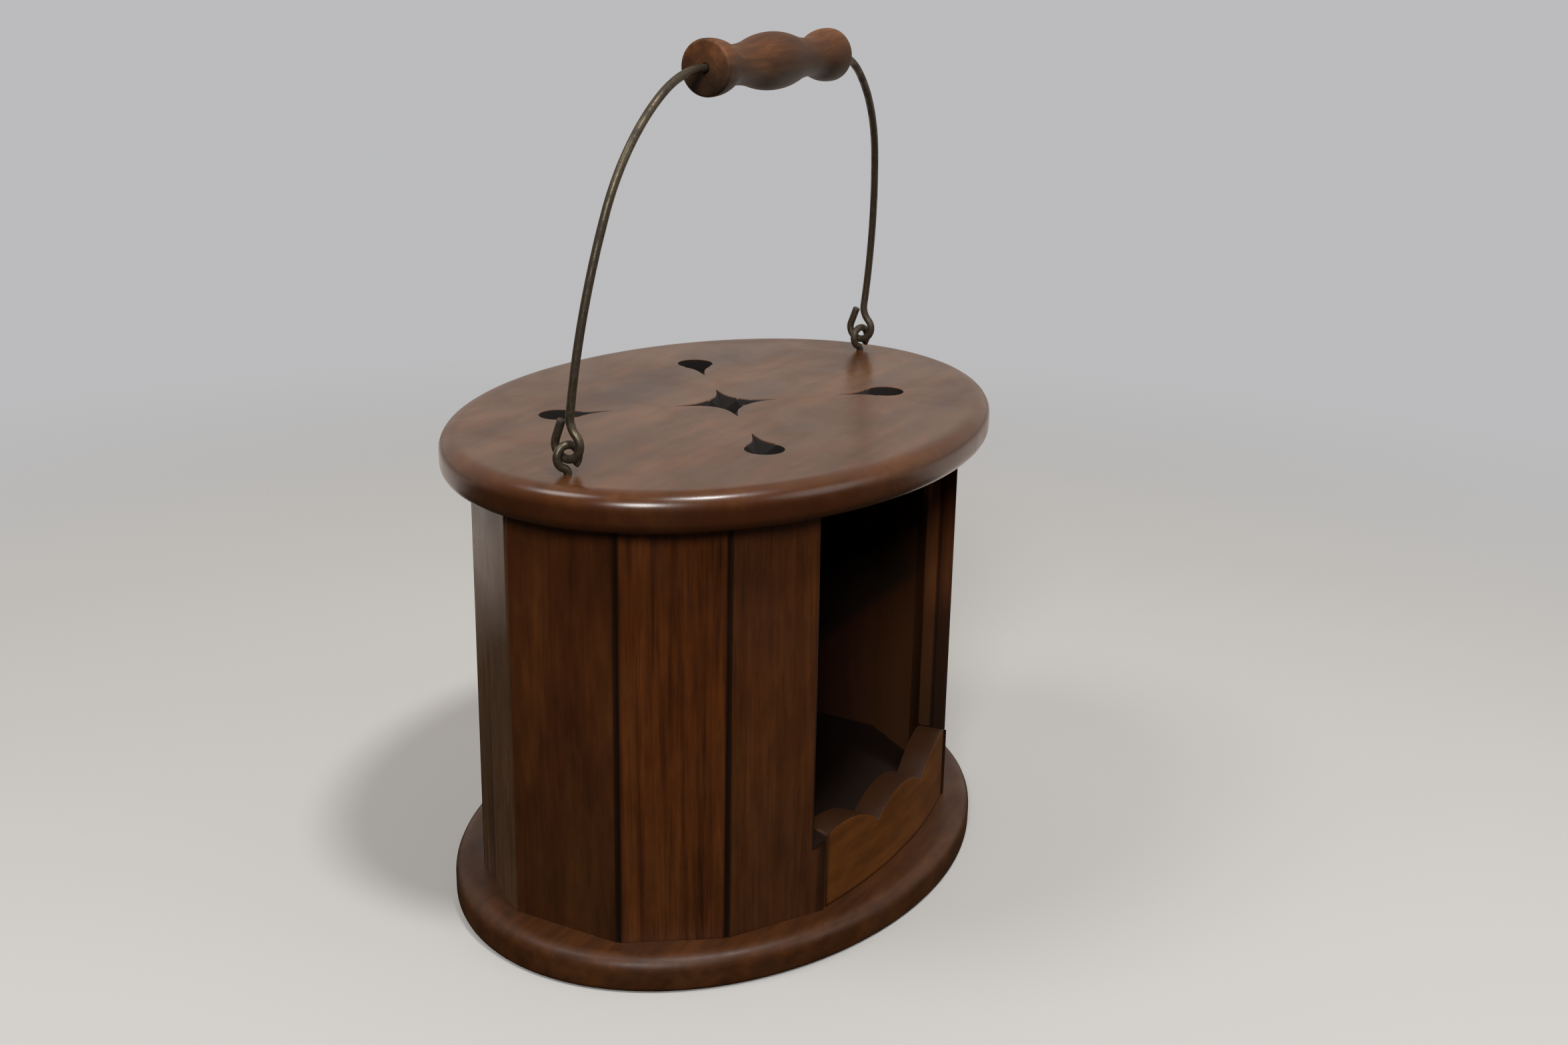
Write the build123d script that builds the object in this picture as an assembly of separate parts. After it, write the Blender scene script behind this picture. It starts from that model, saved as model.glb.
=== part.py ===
from build123d import *
import math
import os

# Oval foot warmer of dark varnished wood. Millimetres, +Z up, +X along the long axis,
# -Y towards the open front, origin at the middle of the base board's underside.

# wall of staves, measured across its outer joints
wall_length = 273.8
wall_width = 200.0
body_height = 183.8
stave_thickness = 12.5
end_stave_width = 52.6
flank_stave_width = 45.4
jamb_stave_width = 48.8
stave_arris = 0.9
apron_flattening = 4.4
apron_setback = 1.2

# oval boards, and how far each reaches past the wall at its ends and sides
top_end_overhang = 13.1
top_side_overhang = 12.1
top_thickness = 16.8
top_upper_round = 7.0
top_lower_round = 5.0
base_end_overhang = 12.6
base_side_overhang = 12.5
base_thickness = 15.5
base_upper_round = 6.0
base_lower_round = 2.5

# radii of the arcs that draw a board's outline, as shares of a true ellipse's
oval_end_share = 1.04
oval_middle_share = 1.04
oval_side_share = 0.97

# tongues on the stave ends and the grooves that hold them
tongue_thickness = 5.0
tongue_height = 5.0
tongue_side_gap = 0.15
tongue_end_gap = 0.5

# doorway and its scalloped sill, heights above the base board
door_width = 139.6
sill_middle_height = 34.8
sill_cusp_height = 26.1
sill_crest_height = 36.9
sill_end_height = 31.5
sill_cusp_offset = 23.2
sill_crest_offset = 48.0
apron_blank_height = 46.0

# heat holes: a plain bore with carved points
heat_bore = 17.0
heat_hole_offset_x = 58.0
heat_hole_offset_y = 51.5
point_reach = 24.0
point_half_width = 6.2
point_depth = 8.1
carving_margin = 2.0

# screw eyes, on a line a little in front of the middle
eye_spacing = 259.0
eye_line_offset = 3.4
eye_wire = 3.4
eye_radius = 4.8
eye_height = 6.9
shank_depth = 15.0
shank_point = 4.0
shank_gap = 0.1

# bail
bail_wire = 3.5
bail_loop_radius = 5.8
bail_neck_height = 12.0
bail_tail_height = 9.5
bail_height = 140.0
bail_straight_past_grip = 3.0
shoulder_turn = 35.0
shoulder_bend_share = 0.70
arm_bend_share = 1.13
bail_rest_lean = 6.75
loop_tail_gap = 0.4

# turned grip
grip_length = 108.6
grip_belly_radius = 12.0
grip_waist_radius = 8.2
grip_end_radius = 11.5
grip_waist_offset = 32.0
grip_end_land = 3.0
grip_end_bevel = 0.8
grip_bore_gap = 0.35

# nails driven up through the base board
nail_length = 38.0
nail_width = 2.4
nail_tip_width = 1.2
nail_head_width = 5.0
nail_head_thickness = 1.2
nail_head_sink = 0.2
apron_nail_offset = 30.0

top_underside = base_thickness + body_height
top_surface = top_underside + top_thickness
wall_a = wall_length / 2
wall_b = wall_width / 2
pivot_height = top_surface + eye_height + eye_radius
eye_x = eye_spacing / 2
eye_y = -eye_line_offset


# ---- oval boards ----------------------------------------------------------------

def arc_about(centre, radius, start, end):
    """Shorter arc from the direction of one point to the direction of another."""
    to_start = (start - centre).normalized()
    to_end = (end - centre).normalized()
    to_middle = (to_start + to_end).normalized()
    return ThreePointArc(
        centre + to_start * radius,
        centre + to_middle * radius,
        centre + to_end * radius,
    )


def oval_face(half_length, half_width):
    """Eight arcs that meet tangent: tight at the ends, flat along the sides."""
    end_radius = oval_end_share * half_width ** 2 / half_length
    side_radius = oval_side_share * half_length ** 2 / half_width
    middle_radius = oval_middle_share * math.sqrt(end_radius * side_radius)
    end_centre = Vector(half_length - end_radius, 0)
    side_centre = Vector(0, half_width - side_radius)

    # the middle arc's centre, from its distances to the other two
    near = middle_radius - end_radius
    far = side_radius - middle_radius
    span = end_centre - side_centre
    along = (near ** 2 - far ** 2 + span.length ** 2) / (2 * span.length)
    across = math.sqrt(near ** 2 - along ** 2)
    unit = span.normalized()
    middle_centre = end_centre - unit * along + Vector(-unit.Y, unit.X) * across
    end_join = middle_centre + (end_centre - middle_centre).normalized() * middle_radius
    side_join = side_centre + (middle_centre - side_centre).normalized() * side_radius

    edges = []
    for flip in (1, -1):
        edges.append(arc_about(
            Vector(flip * end_centre.X, 0),
            end_radius,
            Vector(flip * end_join.X, -flip * end_join.Y),
            Vector(flip * end_join.X, flip * end_join.Y),
        ))
        edges.append(arc_about(
            Vector(0, flip * side_centre.Y),
            side_radius,
            Vector(flip * side_join.X, flip * side_join.Y),
            Vector(-flip * side_join.X, flip * side_join.Y),
        ))
        for side in (1, -1):
            mirror_in = Vector(flip * side, side)
            edges.append(arc_about(
                Vector(middle_centre.X * mirror_in.X, middle_centre.Y * mirror_in.Y),
                middle_radius,
                Vector(end_join.X * mirror_in.X, end_join.Y * mirror_in.Y),
                Vector(side_join.X * mirror_in.X, side_join.Y * mirror_in.Y),
            ))
    return make_face(edges)


def oval_board(end_overhang, side_overhang, thickness, lower_round, upper_round):
    outline = oval_face(wall_a + end_overhang, wall_b + side_overhang)
    board = extrude(outline, amount=thickness, dir=(0, 0, 1))
    board = fillet(board.edges().group_by(Axis.Z)[-1], upper_round)
    return fillet(board.edges().group_by(Axis.Z)[0], lower_round)


# ---- plan of the stave wall -------------------------------------------------

def on_wall(angle):
    return Vector(wall_a * math.cos(angle), wall_b * math.sin(angle))


def next_joint(angle, chord):
    """Angle on the wall oval that lies one stave width further round."""
    low, high = angle, math.pi / 2
    for _ in range(60):
        middle = (low + high) / 2
        if (on_wall(middle) - on_wall(angle)).length < chord:
            low = middle
        else:
            high = middle
    return low


end_angle = math.asin(end_stave_width / 2 / wall_b)
flank_angle = next_joint(end_angle, flank_stave_width)
jamb_angle = next_joint(flank_angle, jamb_stave_width)
quarter = [on_wall(angle) for angle in (end_angle, flank_angle, jamb_angle)]

back_right = quarter + [Vector(0, wall_b)]
front_right = [Vector(p.X, -p.Y) for p in reversed(quarter)]
back_left = [Vector(-p.X, p.Y) for p in reversed(quarter)]
front_left = [Vector(-p.X, -p.Y) for p in quarter]
joints = front_right + back_right + back_left + front_left

# one name per stave, anticlockwise from the right side of the doorway
stave_names = [
    "jamb_stave_right",
    "flank_stave_front_right",
    "end_stave_right",
    "flank_stave_back_right",
    "quarter_stave_back_right",
    "back_stave_right",
    "back_stave_left",
    "quarter_stave_back_left",
    "flank_stave_back_left",
    "end_stave_left",
    "flank_stave_front_left",
    "jamb_stave_left",
    "front_apron",
]
apron = len(stave_names) - 1


# the apron is one board; its faces follow an arc through the joints on either side,
# the front one a little behind it
apron_front = wall_b - apron_flattening
apron_rise = apron_front + joints[0].Y
apron_radius = (joints[0].X ** 2 + apron_rise ** 2) / (2 * apron_rise)
apron_centre = Vector(0, apron_radius - apron_front)


def heading(stave, joint):
    """Direction of a stave's outer face where it reaches a joint."""
    start = joints[stave]
    end = joints[(stave + 1) % len(joints)]
    if stave != apron:
        return (end - start).normalized()
    spoke = (joints[joint] - apron_centre).normalized()
    return Vector(-spoke.Y, spoke.X)


def corner(joint, depth):
    """Point on a joint's mitre line at a depth below the outer faces."""
    before = heading((joint - 1) % len(joints), joint)
    after = heading(joint, joint)
    inward_before = Vector(-before.Y, before.X)
    inward_after = Vector(-after.Y, after.X)
    mitre = (inward_before + inward_after) / (1 + inward_before.dot(inward_after))
    return joints[joint] + mitre * depth


def face_depth(stave):
    """How far a stave's front face stands back from its joints' outer corners."""
    return apron_setback if stave == apron else 0


def stave_side(stave, depth):
    start = corner(stave, depth)
    end = corner((stave + 1) % len(joints), depth)
    if stave == apron:
        return ThreePointArc(start, Vector(0, depth - apron_front), end)
    return Line(start, end)


def stave_plan(stave, outer_depth, inner_depth):
    outer = stave_side(stave, outer_depth)
    inner = stave_side(stave, inner_depth)
    ends = [Line(outer @ 0, inner @ 0), Line(outer @ 1, inner @ 1)]
    return make_face([outer, inner] + ends)


def stave_prism(stave, outer_depth, inner_depth, low, high):
    plan = stave_plan(stave, outer_depth, inner_depth)
    return Pos(0, 0, low) * extrude(plan, amount=high - low, dir=(0, 0, 1))


def tongue(stave, at_top, gap, end_gap):
    """The tongue on one end of a stave, or with gaps the groove that it sits in."""
    middle_depth = face_depth(stave) + stave_thickness / 2
    outer_depth = middle_depth - tongue_thickness / 2 - gap
    inner_depth = middle_depth + tongue_thickness / 2 + gap
    reach = tongue_height + end_gap
    if at_top:
        return stave_prism(stave, outer_depth, inner_depth, top_underside, top_underside + reach)
    return stave_prism(stave, outer_depth, inner_depth, base_thickness - reach, base_thickness)


def doorway():
    """The sawn opening: straight jambs above a sill of three lobes."""
    half = door_width / 2
    end = base_thickness + sill_end_height
    crest = base_thickness + sill_crest_height
    middle = base_thickness + sill_middle_height
    cusp = base_thickness + sill_cusp_height
    head = top_underside + tongue_height + tongue_end_gap
    left_lobe = ThreePointArc((-half, end), (-sill_crest_offset, crest), (-sill_cusp_offset, cusp))
    middle_lobe = ThreePointArc((-sill_cusp_offset, cusp), (0, middle), (sill_cusp_offset, cusp))
    right_lobe = ThreePointArc((sill_cusp_offset, cusp), (sill_crest_offset, crest), (half, end))
    frame = Polyline((half, end), (half, head), (-half, head), (-half, end))
    profile = make_face([left_lobe, middle_lobe, right_lobe, frame])
    return extrude(Plane.XZ * profile, amount=wall_width, dir=(0, -1, 0))


# ---- nails --------------------------------------------------------------------

def nail():
    head = Pos(0, 0, nail_head_thickness / 2)
    head *= Box(nail_head_width, nail_head_width, nail_head_thickness)
    root = Pos(0, 0, nail_head_thickness) * Rectangle(nail_width, nail_width)
    tip = Pos(0, 0, nail_length) * Rectangle(nail_tip_width, nail_tip_width)
    return head + loft([root, tip])


def nail_seat():
    """What a nail takes out of the wood, open below its sunk head."""
    recess = Pos(0, 0, -nail_head_sink / 2) * Box(nail_head_width, nail_head_width, nail_head_sink)
    return nail() + recess


def nail_places():
    """Middle of each stave's end, and two places along the apron."""
    places = []
    for stave in range(apron):
        near = corner(stave, stave_thickness / 2)
        far = corner(stave + 1, stave_thickness / 2)
        along = far - near
        turn = math.degrees(math.atan2(along.Y, along.X))
        places.append(Pos((near + far) / 2) * Rot(0, 0, turn))
    radius = apron_radius - face_depth(apron) - stave_thickness / 2
    for x in (-apron_nail_offset, apron_nail_offset):
        y = apron_centre.Y - math.sqrt(radius ** 2 - x ** 2)
        turn = math.degrees(math.asin(x / radius))
        places.append(Pos(x, y) * Rot(0, 0, turn))
    return [Pos(0, 0, nail_head_sink) * place for place in places]


# ---- carved heat holes ----------------------------------------------------------

def carved_point(angle):
    """A V cut that runs from the bore out to a point, shallower all the way."""
    slope = point_half_width / point_depth
    rim = (point_depth + carving_margin) * slope
    section = make_face(Polyline(
        (0, -point_depth),
        (rim, carving_margin),
        (-rim, carving_margin),
        (0, -point_depth),
    ))
    tip_reach = point_reach * (1 + carving_margin / point_depth)
    wedge = loft([Plane.YZ * section, Vertex(tip_reach, 0, carving_margin)])
    return Rot(0, 0, angle) * wedge


def heat_hole(point_angles):
    bore = Pos(0, 0, carving_margin) * extrude(
        Circle(heat_bore / 2), amount=top_thickness + 2 * carving_margin, dir=(0, 0, -1)
    )
    for angle in point_angles:
        bore += carved_point(angle)
    return bore


def heat_holes():
    diagonal = math.degrees(math.atan2(heat_hole_offset_y, heat_hole_offset_x))
    middle_angles = [diagonal, 180 - diagonal, 180 + diagonal, -diagonal]
    holes = [heat_hole(middle_angles)]
    for side_x, side_y in ((1, 1), (-1, 1), (-1, -1), (1, -1)):
        x = side_x * heat_hole_offset_x
        y = side_y * heat_hole_offset_y
        inward = math.degrees(math.atan2(-y, -x))
        holes.append(Pos(x, y) * heat_hole([inward]))
    return [Pos(0, 0, top_surface) * hole for hole in holes]


# ---- bent wire ------------------------------------------------------------------

def arc_between(centre, radius, start_angle, end_angle, place):
    points = []
    for share in (0, 0.5, 1):
        angle = start_angle + (end_angle - start_angle) * share
        points.append(place(centre[0] + radius * math.cos(angle), centre[1] + radius * math.sin(angle)))
    return ThreePointArc(*points)


def wire_loop(radius, lead, wire, place, tail_height=0):
    """A closed eye about (0, 0) at the end of a wire that arrives down the line (0, lead).

    With a tail height the loop is drawn out to a drop, its tail straight up beside the wire.
    """
    swerve = (lead ** 2 - radius ** 2) / (2 * radius)
    meet = math.atan2(lead, -swerve)
    clear = swerve + wire + loop_tail_gap
    swerve_arc = arc_between((-swerve, lead), swerve, 0, meet - math.pi, place)
    if not tail_height:
        reach = swerve + radius
        closing = math.acos((radius ** 2 + reach ** 2 - clear ** 2) / (2 * radius * reach))
        return [swerve_arc, arc_between((0, 0), radius, meet, meet + 2 * math.pi - closing, place)]

    tail_across = math.sqrt(clear ** 2 - (lead - tail_height) ** 2) - swerve
    tail_reach = math.hypot(tail_across, tail_height)
    leave = math.atan2(tail_height, tail_across) - math.acos(radius / tail_reach)
    loop_arc = arc_between((0, 0), radius, meet, leave + 2 * math.pi, place)
    return [swerve_arc, loop_arc, Line(loop_arc @ 1, place(tail_across, tail_height))]


def bent_rod(edges, wire):
    path = Wire(edges)
    start = Plane(origin=path @ 0, z_dir=path % 0)
    return sweep(start * Circle(wire / 2), path=path)


def screw_eye(x):
    """Ring that stands along X over a pointed shank."""
    ring_height = top_surface + eye_height

    def place(across, down):
        return Vector(x + across, eye_y, ring_height - down)

    shank = Line(place(0, eye_height + shank_depth - shank_point), place(0, eye_height))
    rod = bent_rod([shank] + wire_loop(eye_radius, eye_height, eye_wire, place), eye_wire)
    point = Cone(0.2, eye_wire / 2, shank_point)
    point_height = top_surface - shank_depth + shank_point / 2
    return rod + Pos(x, eye_y, point_height) * point


def shank_hole(x):
    depth = shank_depth + shank_gap
    hole = Cylinder(eye_wire / 2 + shank_gap, depth)
    return Pos(x, eye_y, top_surface - depth / 2) * hole


def bail_half():
    """Right half of the bail, upright, with its pivot line through the origin along X."""
    straight = grip_length / 2 + bail_straight_past_grip
    half_span = eye_x - straight
    shoulder = shoulder_bend_share * half_span
    arm = arm_bend_share * half_span
    turn = math.radians(shoulder_turn)

    shoulder_centre = (straight, bail_height - shoulder)
    arm_centre = (
        straight + (shoulder - arm) * math.sin(turn),
        shoulder_centre[1] + (shoulder - arm) * math.cos(turn),
    )
    across = eye_x - arm_centre[0]
    drop = arm_centre[1] - bail_neck_height
    leg = (across ** 2 + drop ** 2 - arm ** 2) / (2 * (across - arm))
    leg_centre = (eye_x - leg, bail_neck_height)
    leg_turn = math.atan2(drop, arm_centre[0] - leg_centre[0])

    def in_bail_plane(x, z):
        return Vector(x, 0, z)

    def in_loop_plane(across_y, z):
        return Vector(eye_x, across_y, z)

    edges = [Line((0, 0, bail_height), (straight, 0, bail_height))]
    quarter_turn = math.pi / 2
    edges.append(arc_between(shoulder_centre, shoulder, quarter_turn, quarter_turn - turn, in_bail_plane))
    edges.append(arc_between(arm_centre, arm, quarter_turn - turn, leg_turn, in_bail_plane))
    edges.append(arc_between(leg_centre, leg, leg_turn, 0, in_bail_plane))
    edges += wire_loop(
        bail_loop_radius,
        bail_neck_height,
        bail_wire,
        in_loop_plane,
        bail_tail_height,
    )
    return bent_rod(edges, bail_wire)


def at_rest(upright):
    return Pos(0, eye_y, pivot_height) * Rot(bail_rest_lean, 0, 0) * upright


def cyma(start, end):
    """Two equal arcs that leave and arrive level."""
    middle = ((start[0] + end[0]) / 2, (start[1] + end[1]) / 2)
    first = TangentArc(start, middle, tangent=(1, 0))
    second = TangentArc(end, middle, tangent=(-1, 0))
    return [first, second]


def turned_grip():
    """Barrel grip with a waist at each side and flared ends, bored for the wire."""
    half = grip_length / 2
    land_start = half - grip_end_land
    bore = bail_wire / 2 + grip_bore_gap
    profile = cyma((0, grip_belly_radius), (grip_waist_offset, grip_waist_radius))
    profile += cyma((grip_waist_offset, grip_waist_radius), (land_start, grip_end_radius))
    profile.append(Polyline(
        (land_start, grip_end_radius),
        (half - grip_end_bevel, grip_end_radius),
        (half, grip_end_radius - grip_end_bevel),
        (half, bore),
        (0, bore),
        (0, grip_belly_radius),
    ))
    half_grip = revolve(make_face(profile), axis=Axis.X)
    return Pos(0, 0, bail_height) * (half_grip + mirror(half_grip, about=Plane.YZ))


# ---- assembly -------------------------------------------------------------------

def build_parts():
    opening = doorway()
    places = nail_places()

    parts = {}
    top = Pos(0, 0, top_underside) * oval_board(
        top_end_overhang,
        top_side_overhang,
        top_thickness,
        top_lower_round,
        top_upper_round,
    )
    base = oval_board(
        base_end_overhang,
        base_side_overhang,
        base_thickness,
        base_lower_round,
        base_upper_round,
    )

    for stave, name in enumerate(stave_names):
        is_apron = stave == apron
        height = apron_blank_height if is_apron else body_height
        front = face_depth(stave)
        back = front + stave_thickness
        body = stave_prism(stave, front, back, base_thickness, base_thickness + height)
        outer_corners = [corner(stave, front), corner((stave + 1) % len(joints), front)]
        arrises = [
            edge
            for edge in body.edges().filter_by(Axis.Z)
            for point in outer_corners
            if math.hypot(edge.center().X - point.X, edge.center().Y - point.Y) < stave_arris / 2
        ]
        body = chamfer(arrises, stave_arris)
        body += tongue(stave, False, 0, 0)
        base -= tongue(stave, False, tongue_side_gap, tongue_end_gap)
        if not is_apron:
            body += tongue(stave, True, 0, 0)
            top -= tongue(stave, True, tongue_side_gap, tongue_end_gap) - opening
        if is_apron or name.startswith("jamb"):
            body -= opening
        parts[name] = body

    for hole in heat_holes():
        top -= hole
    for x in (-eye_x, eye_x):
        top -= shank_hole(x)
    for index, place in enumerate(places):
        seat = place * nail_seat()
        base -= seat
        parts[stave_names[min(index, apron)]] -= seat

    parts["top_board"] = top
    parts["base_board"] = base
    parts["base_nails"] = Compound([place * nail() for place in places])
    parts["screw_eye_left"] = screw_eye(-eye_x)
    parts["screw_eye_right"] = screw_eye(eye_x)
    half_bail = bail_half()
    parts["bail_wire"] = at_rest(half_bail + mirror(half_bail, about=Plane.YZ))
    parts["grip"] = at_rest(turned_grip())
    return parts


os.makedirs("parts", exist_ok=True)
for name, shape in build_parts().items():
    export_step(shape, f"parts/{name}.step")
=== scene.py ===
import math

import bmesh
import bpy
from mathutils import Matrix, Vector


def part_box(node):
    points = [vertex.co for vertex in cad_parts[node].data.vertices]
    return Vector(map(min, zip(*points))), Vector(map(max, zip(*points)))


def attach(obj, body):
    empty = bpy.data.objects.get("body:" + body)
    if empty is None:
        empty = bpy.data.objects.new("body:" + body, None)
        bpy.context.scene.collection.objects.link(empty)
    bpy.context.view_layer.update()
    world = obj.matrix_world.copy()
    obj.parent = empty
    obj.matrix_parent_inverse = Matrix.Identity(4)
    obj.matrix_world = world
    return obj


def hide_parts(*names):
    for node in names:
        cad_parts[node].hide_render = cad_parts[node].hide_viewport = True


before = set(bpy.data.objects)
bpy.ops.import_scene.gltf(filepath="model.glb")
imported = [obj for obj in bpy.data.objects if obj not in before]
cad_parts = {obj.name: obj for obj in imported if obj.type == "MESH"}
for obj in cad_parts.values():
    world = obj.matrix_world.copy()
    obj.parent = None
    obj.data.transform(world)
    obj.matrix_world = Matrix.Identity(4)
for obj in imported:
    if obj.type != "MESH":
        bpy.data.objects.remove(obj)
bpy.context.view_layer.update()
mm = 0.001

shadingSettings = {
    "smoothAngle": 35,
    "flatArea": 0.0002,
}


def shadeSmooth(mesh, smoothAngle):
    # large flats stay flat, so that a rounded edge beside them doesn't tint them
    mesh.shade_smooth()
    for face in mesh.polygons:
        if face.area > shadingSettings["flatArea"]:
            face.use_smooth = False
    mesh.set_sharp_from_angle(angle=math.radians(smoothAngle))


def newPiece(name, bm, smoothAngle=shadingSettings["smoothAngle"]):
    mesh = bpy.data.meshes.new(name)
    bm.to_mesh(mesh)
    bm.free()
    shadeSmooth(mesh, smoothAngle)
    piece = bpy.data.objects.new(name, mesh)
    bpy.context.scene.collection.objects.link(piece)
    return piece


def madeBy(step, kind, key="geom"):
    return [item for item in step[key] if isinstance(item, kind)]


def roundEdges(bm, edges, radius, segments):
    return bmesh.ops.bevel(bm, geom=edges, offset=radius, offset_type="OFFSET", affect="EDGES",
                           segments=segments, profile=0.5, material=-1, clamp_overlap=True)


def mirrorHalf(bm, settings):
    # the left half from the right one, joined in the middle
    bmesh.ops.mirror(bm, geom=bm.verts[:] + bm.edges[:] + bm.faces[:], axis="X",
                     merge_dist=settings["mergeGap"] * mm)
    bmesh.ops.remove_doubles(bm, verts=bm.verts, dist=settings["mergeGap"] * mm)
    bmesh.ops.recalc_face_normals(bm, faces=bm.faces)


# oval boards

topBoardSettings = {
    "sides": 224,
    "upperRound": 7.0,
    "lowerRound": 5.0,
    "roundSteps": 7,
    "edgeBand": 1.6,
    "cell": 17.0,
    "cellStart": 0.37,
}

baseBoardSettings = {
    "sides": 224,
    "upperRound": 6.0,
    "lowerRound": 2.5,
    "roundSteps": 6,
    "edgeBand": 1.6,
    "cell": 17.0,
    "cellStart": 0.37,
}


def isOvalFlat(face):
    # the two flats are the only faces with so many corners
    return len(face.verts) > 8


def levelFaces(bm, least):
    return [face for face in bm.faces if abs(face.normal.z) > least]


def ovalBoard(node, settings):
    low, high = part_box(node)
    bm = bmesh.new()
    bmesh.ops.create_circle(bm, cap_ends=True, segments=settings["sides"], radius=1.0)
    bmesh.ops.scale(bm, vec=(high.x, high.y, 1), verts=bm.verts)
    bmesh.ops.translate(bm, vec=(0, 0, low.z), verts=bm.verts)
    lid = bmesh.ops.extrude_face_region(bm, geom=bm.faces[:])
    bmesh.ops.translate(bm, vec=(0, 0, high.z - low.z), verts=madeBy(lid, bmesh.types.BMVert))
    bmesh.ops.recalc_face_normals(bm, faces=bm.faces)
    middle = (low.z + high.z) / 2
    for face in levelFaces(bm, 0.9):
        upper = face.calc_center_median().z > middle
        radius = settings["upperRound" if upper else "lowerRound"] * mm
        roundEdges(bm, list(face.edges), radius, settings["roundSteps"])
    flats = [face for face in bm.faces if isOvalFlat(face)]
    bmesh.ops.inset_region(bm, faces=flats, thickness=settings["edgeBand"] * mm, use_even_offset=True)
    worn = bm.verts.layers.float.new("worn")
    for vert in bm.verts:
        vert[worn] = 0.0 if any(isOvalFlat(face) for face in vert.link_faces) else 1.0
    # the flats are divided into cells, so that each hole is cut in small faces
    cell = settings["cell"] * mm
    for axis, reach in ((0, high.x), (1, high.y)):
        normal = Vector((1 - axis, axis, 0))
        for index in range(1, int(2 * reach / cell)):
            flats = levelFaces(bm, 0.999)
            around = {edge for face in flats for edge in face.edges}
            corners = {vert for face in flats for vert in face.verts}
            bmesh.ops.bisect_plane(bm, geom=flats + list(around) + list(corners), plane_no=normal,
                                   plane_co=normal * (-reach + (index + settings["cellStart"]) * cell))
    return bm


heatHoleSettings = {
    "bore": 17.0,
    "boreSides": 64,
    "boreDepth": 40,
    "offsetX": 58.0,
    "offsetY": 51.5,
    "clearance": 1.5,
    # reach from the bore's middle, half width and depth at each station
    "pointStations": [(3.0, 6.5, 8.3), (7.4, 6.2, 8.1), (9.4, 4.5, 6.6), (11.4, 3.3, 5.2),
                      (13.6, 2.3, 3.9), (16.4, 1.55, 2.7), (20.0, 0.85, 1.5), (24.4, 0.12, 0.2)],
    # the part of the top that the carved walls lie in
    "carvedReach": (0.110, 0.075),
}


def boreCutter(settings, place):
    bm = bmesh.new()
    radius = settings["bore"] / 2 * mm
    bmesh.ops.create_cone(bm, cap_ends=True, segments=settings["boreSides"], radius1=radius,
                          radius2=radius, depth=settings["boreDepth"] * mm)
    bmesh.ops.translate(bm, vec=place, verts=bm.verts)
    return newPiece("boreCutter", bm)


def pointCutter(settings, place, angle):
    # a V section that runs out from the bore, shallower and narrower all the way
    bm = bmesh.new()
    section = bmesh.ops.create_circle(bm, cap_ends=True, segments=3, radius=1.0)
    face = section["verts"][0].link_faces[0]
    ring = list(face.verts)
    rim = settings["clearance"]
    for index, (reach, half, depth) in enumerate(settings["pointStations"]):
        if index:
            before = [vert.co.copy() for vert in ring]
            step = bmesh.ops.extrude_face_region(bm, geom=[face])
            if index > 1 and face.is_valid:
                # a section left inside would be cut as a wall
                bmesh.ops.delete(bm, geom=[face], context="FACES_ONLY")
            face = madeBy(step, bmesh.types.BMFace)[0]
            ring = [min(face.verts, key=lambda vert: (vert.co - spot).length) for spot in before]
        spread = half + rim * half / depth
        corners = [(0, -depth), (spread, rim), (-spread, rim)]
        for vert, (across, up) in zip(ring, corners):
            vert.co = Vector((reach, across, up)) * mm
    turn = Matrix.Rotation(math.radians(angle), 3, "Z")
    bmesh.ops.rotate(bm, cent=(0, 0, 0), matrix=turn, verts=bm.verts)
    bmesh.ops.translate(bm, vec=place, verts=bm.verts)
    bmesh.ops.recalc_face_normals(bm, faces=bm.faces)
    return newPiece("pointCutter", bm)


def cutHeatHoles(board, settings):
    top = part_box("top_board")[1].z
    x = settings["offsetX"] * mm
    y = settings["offsetY"] * mm
    diagonal = math.degrees(math.atan2(y, x))
    holes = [((0, 0), [diagonal, 180 - diagonal, 180 + diagonal, -diagonal])]
    for sideX, sideY in ((1, 1), (-1, 1), (-1, -1), (1, -1)):
        inward = math.degrees(math.atan2(-sideY * y, -sideX * x))
        holes.append(((sideX * x, sideY * y), [inward]))
    cutters = []
    for (holeX, holeY), angles in holes:
        place = Vector((holeX, holeY, top))
        cutters.append(boreCutter(settings, place))
        for angle in angles:
            cutters.append(pointCutter(settings, place, angle))
    for cutter in cutters:
        cut = board.modifiers.new("heatHole", "BOOLEAN")
        cut.operation = "DIFFERENCE"
        cut.solver = "EXACT"
        cut.object = cutter
    graph = bpy.context.evaluated_depsgraph_get()
    carved = bpy.data.meshes.new_from_object(board.evaluated_get(graph))
    board.modifiers.clear()
    board.data = carved
    shadeSmooth(carved, shadingSettings["smoothAngle"])
    # the carved walls are plain facets, and the flat top stays flat up to them
    reachX, reachY = settings["carvedReach"]
    for polygon in carved.polygons:
        place = polygon.center
        if math.hypot(place.x / reachX, place.y / reachY) < 1 and abs(polygon.normal.z) > 0.3:
            polygon.use_smooth = False
    for cutter in cutters:
        bpy.data.objects.remove(cutter)


topBoard = newPiece("topBoard", ovalBoard("top_board", topBoardSettings))
cutHeatHoles(topBoard, heatHoleSettings)
baseBoard = newPiece("baseBoard", ovalBoard("base_board", baseBoardSettings))
print("boards done", len(topBoard.data.polygons), len(baseBoard.data.polygons))


# wall of staves

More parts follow.
